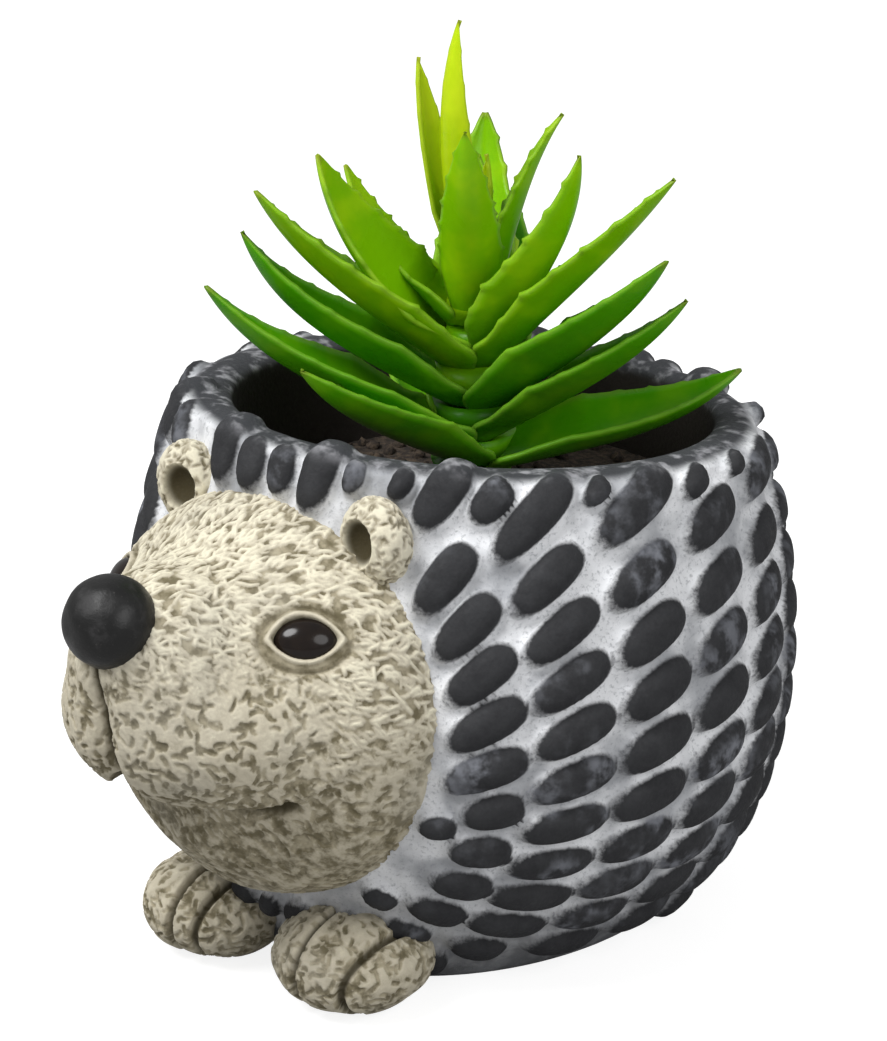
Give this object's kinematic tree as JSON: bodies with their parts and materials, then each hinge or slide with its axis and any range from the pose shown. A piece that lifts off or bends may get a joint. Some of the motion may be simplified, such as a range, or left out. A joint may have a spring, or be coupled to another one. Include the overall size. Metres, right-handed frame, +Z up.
{
  "type": "animal shaped planter",
  "caption": "Hedgehog-shaped planter of painted cast stone with quill bosses, holding an artificial aloe whose leaf rosettes turn on a stem that lifts out",
  "frame": {"origin": "in the plane that the planter stands on, on the upright axis of the plant's stem and the planting hole", "axes": "+Z up, the animal looks along -Y, +X to the animal's left"},
  "size_m": [0.1155, 0.1419, 0.1499],
  "materials": {
    "cast_white": "cast stone body with a rubbed white wash",
    "quill_charcoal": "matt charcoal paint, scuffed at the edges",
    "face_cream": "textured cast stone, cream dry-brushed over taupe",
    "nose_black": "satin black paint",
    "eye_black": "gloss black",
    "foam": "floral foam",
    "soil": "dark coarse topping",
    "stem_green": "moulded green",
    "leaf_deep": "semi-gloss soft plastic, deep green",
    "leaf_mid": "semi-gloss soft plastic, mid green",
    "leaf_lime": "semi-gloss soft plastic, yellow green"
  },
  "bodies": {
    "pot": {"bowl": "cast_white", "quills": "quill_charcoal", "head": "face_cream", "left_ear": "face_cream", "right_ear": "face_cream", "nose": "nose_black", "left_eye": "eye_black", "right_eye": "eye_black", "left_paw": "face_cream", "right_paw": "face_cream", "foam_plug": "foam", "soil_topping": "soil"},
    "stem": {"stem": "stem_green"},
    "leaf_whorl_1": {"leaf_whorl_1": "leaf_deep"},
    "leaf_whorl_2": {"leaf_whorl_2": "leaf_deep"},
    "leaf_whorl_3": {"leaf_whorl_3": "leaf_deep"},
    "leaf_whorl_4": {"leaf_whorl_4": "leaf_mid"},
    "leaf_whorl_5": {"leaf_whorl_5": "leaf_mid"},
    "crown_whorl": {"crown_whorl": "leaf_mid"},
    "top_tuft": {"top_tuft": "leaf_lime"}
  },
  "joints": [
    {"name": "plant_lift", "type": "slide", "parent": "pot", "child": "stem", "axis": [0, 0, 1], "range_m": [0, 0.06]},
    {"name": "leaf_whorl_1_turn", "type": "hinge", "parent": "stem", "child": "leaf_whorl_1", "pos_m": [0, 0, 0.0768], "axis": [0, 0, 1], "continuous": true},
    {"name": "leaf_whorl_2_turn", "type": "hinge", "parent": "stem", "child": "leaf_whorl_2", "pos_m": [0, 0, 0.0818], "axis": [0, 0, 1], "continuous": true},
    {"name": "leaf_whorl_3_turn", "type": "hinge", "parent": "stem", "child": "leaf_whorl_3", "pos_m": [0, 0, 0.0868], "axis": [0, 0, 1], "continuous": true},
    {"name": "leaf_whorl_4_turn", "type": "hinge", "parent": "stem", "child": "leaf_whorl_4", "pos_m": [0, 0, 0.0918], "axis": [0, 0, 1], "continuous": true},
    {"name": "leaf_whorl_5_turn", "type": "hinge", "parent": "stem", "child": "leaf_whorl_5", "pos_m": [0, 0, 0.0968], "axis": [0, 0, 1], "continuous": true},
    {"name": "crown_whorl_turn", "type": "hinge", "parent": "stem", "child": "crown_whorl", "pos_m": [0, 0, 0.1018], "axis": [0, 0, 1], "continuous": true},
    {"name": "top_tuft_turn", "type": "hinge", "parent": "stem", "child": "top_tuft", "pos_m": [0, 0, 0.1068], "axis": [0, 0, 1], "continuous": true}
  ]
}
